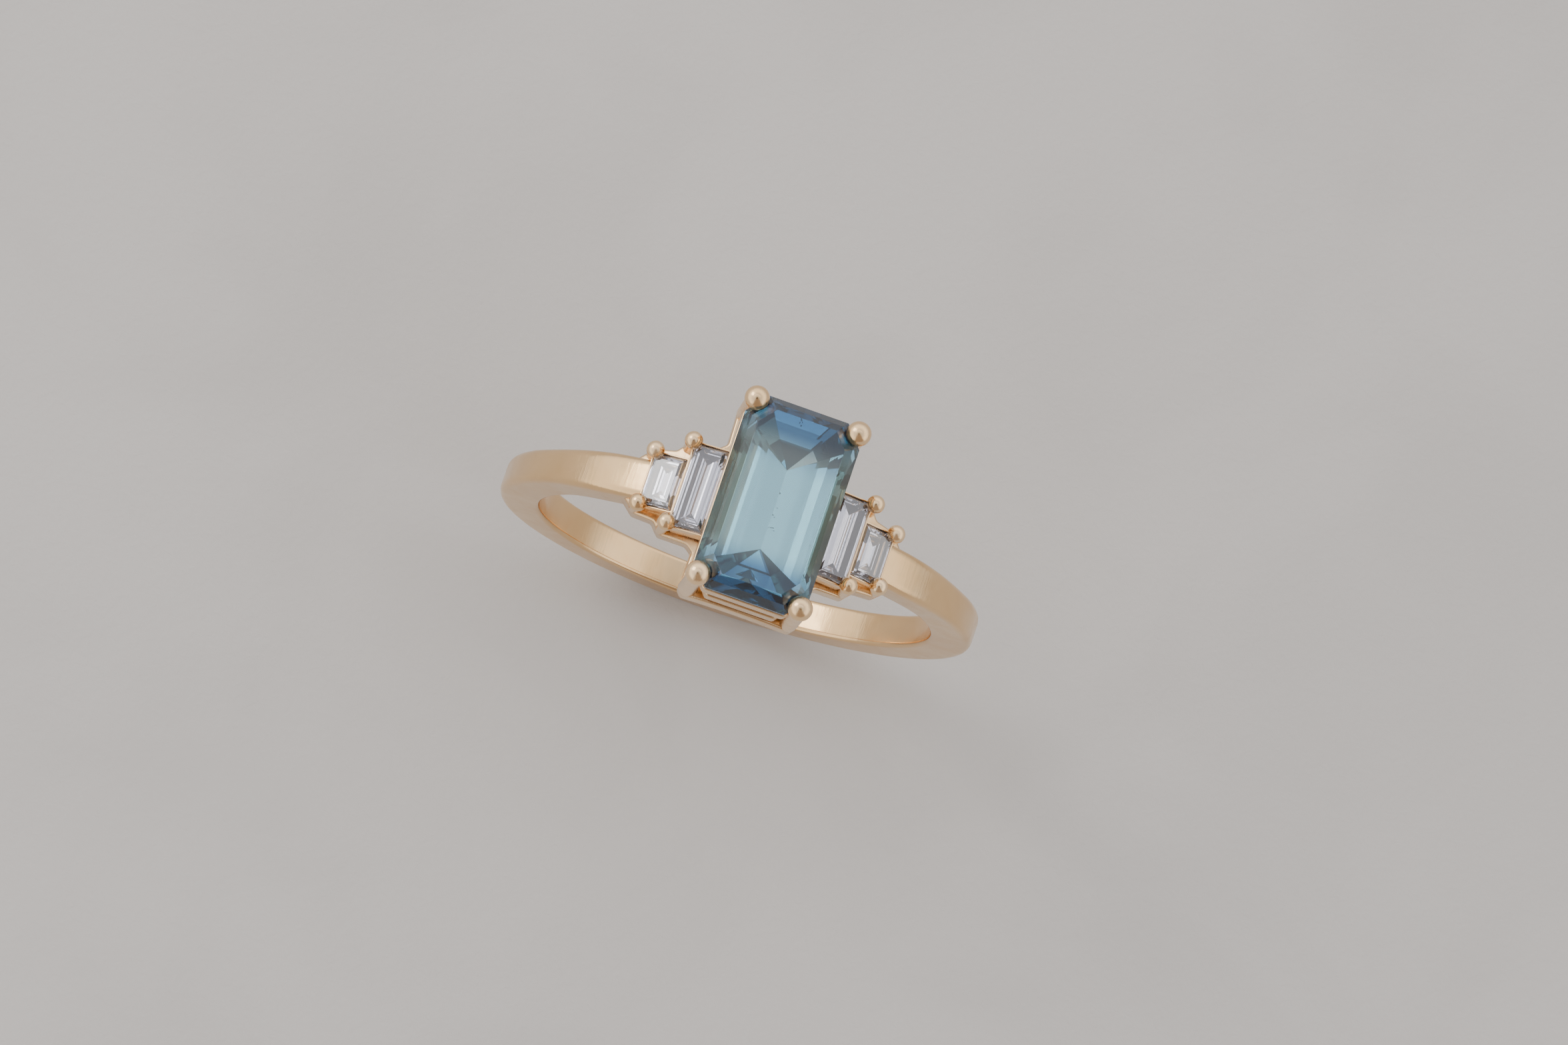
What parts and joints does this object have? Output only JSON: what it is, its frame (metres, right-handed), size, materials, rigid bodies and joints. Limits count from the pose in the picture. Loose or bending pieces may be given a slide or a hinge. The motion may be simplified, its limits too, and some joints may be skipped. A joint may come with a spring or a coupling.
{
  "type": "engagement ring",
  "caption": "Gold ring with a long step-cut blue-green centre stone in ball claws and two baguette stones stepping down each shoulder.",
  "frame": {"origin": "centre of the finger hole, in the ring's middle plane", "axes": "+Y along the finger hole, +Z from the finger through the centre stone, +X to the right shoulder"},
  "size_m": [0.0198, 0.0082, 0.0231],
  "materials": {
    "gold": "polished 14 carat yellow gold",
    "sapphire": "polished step cut, blue-green",
    "diamond": "polished step cut, colourless"
  },
  "bodies": {
    "root": {"shank": "gold", "gallery_north": "gold", "gallery_south": "gold", "head_rail": "gold", "base_rail": "gold", "claw_nw": "gold", "claw_ne": "gold", "claw_sw": "gold", "claw_se": "gold", "sapphire": "sapphire", "left_inner_collet": "gold", "left_outer_collet": "gold", "right_inner_collet": "gold", "right_outer_collet": "gold", "left_inner_baguette": "diamond", "left_outer_baguette": "diamond", "right_inner_baguette": "diamond", "right_outer_baguette": "diamond", "left_inner_prong_n": "gold", "left_inner_prong_s": "gold", "left_outer_prong_n": "gold", "left_outer_prong_s": "gold", "right_inner_prong_n": "gold", "right_inner_prong_s": "gold", "right_outer_prong_n": "gold", "right_outer_prong_s": "gold"}
  },
  "joints": []
}
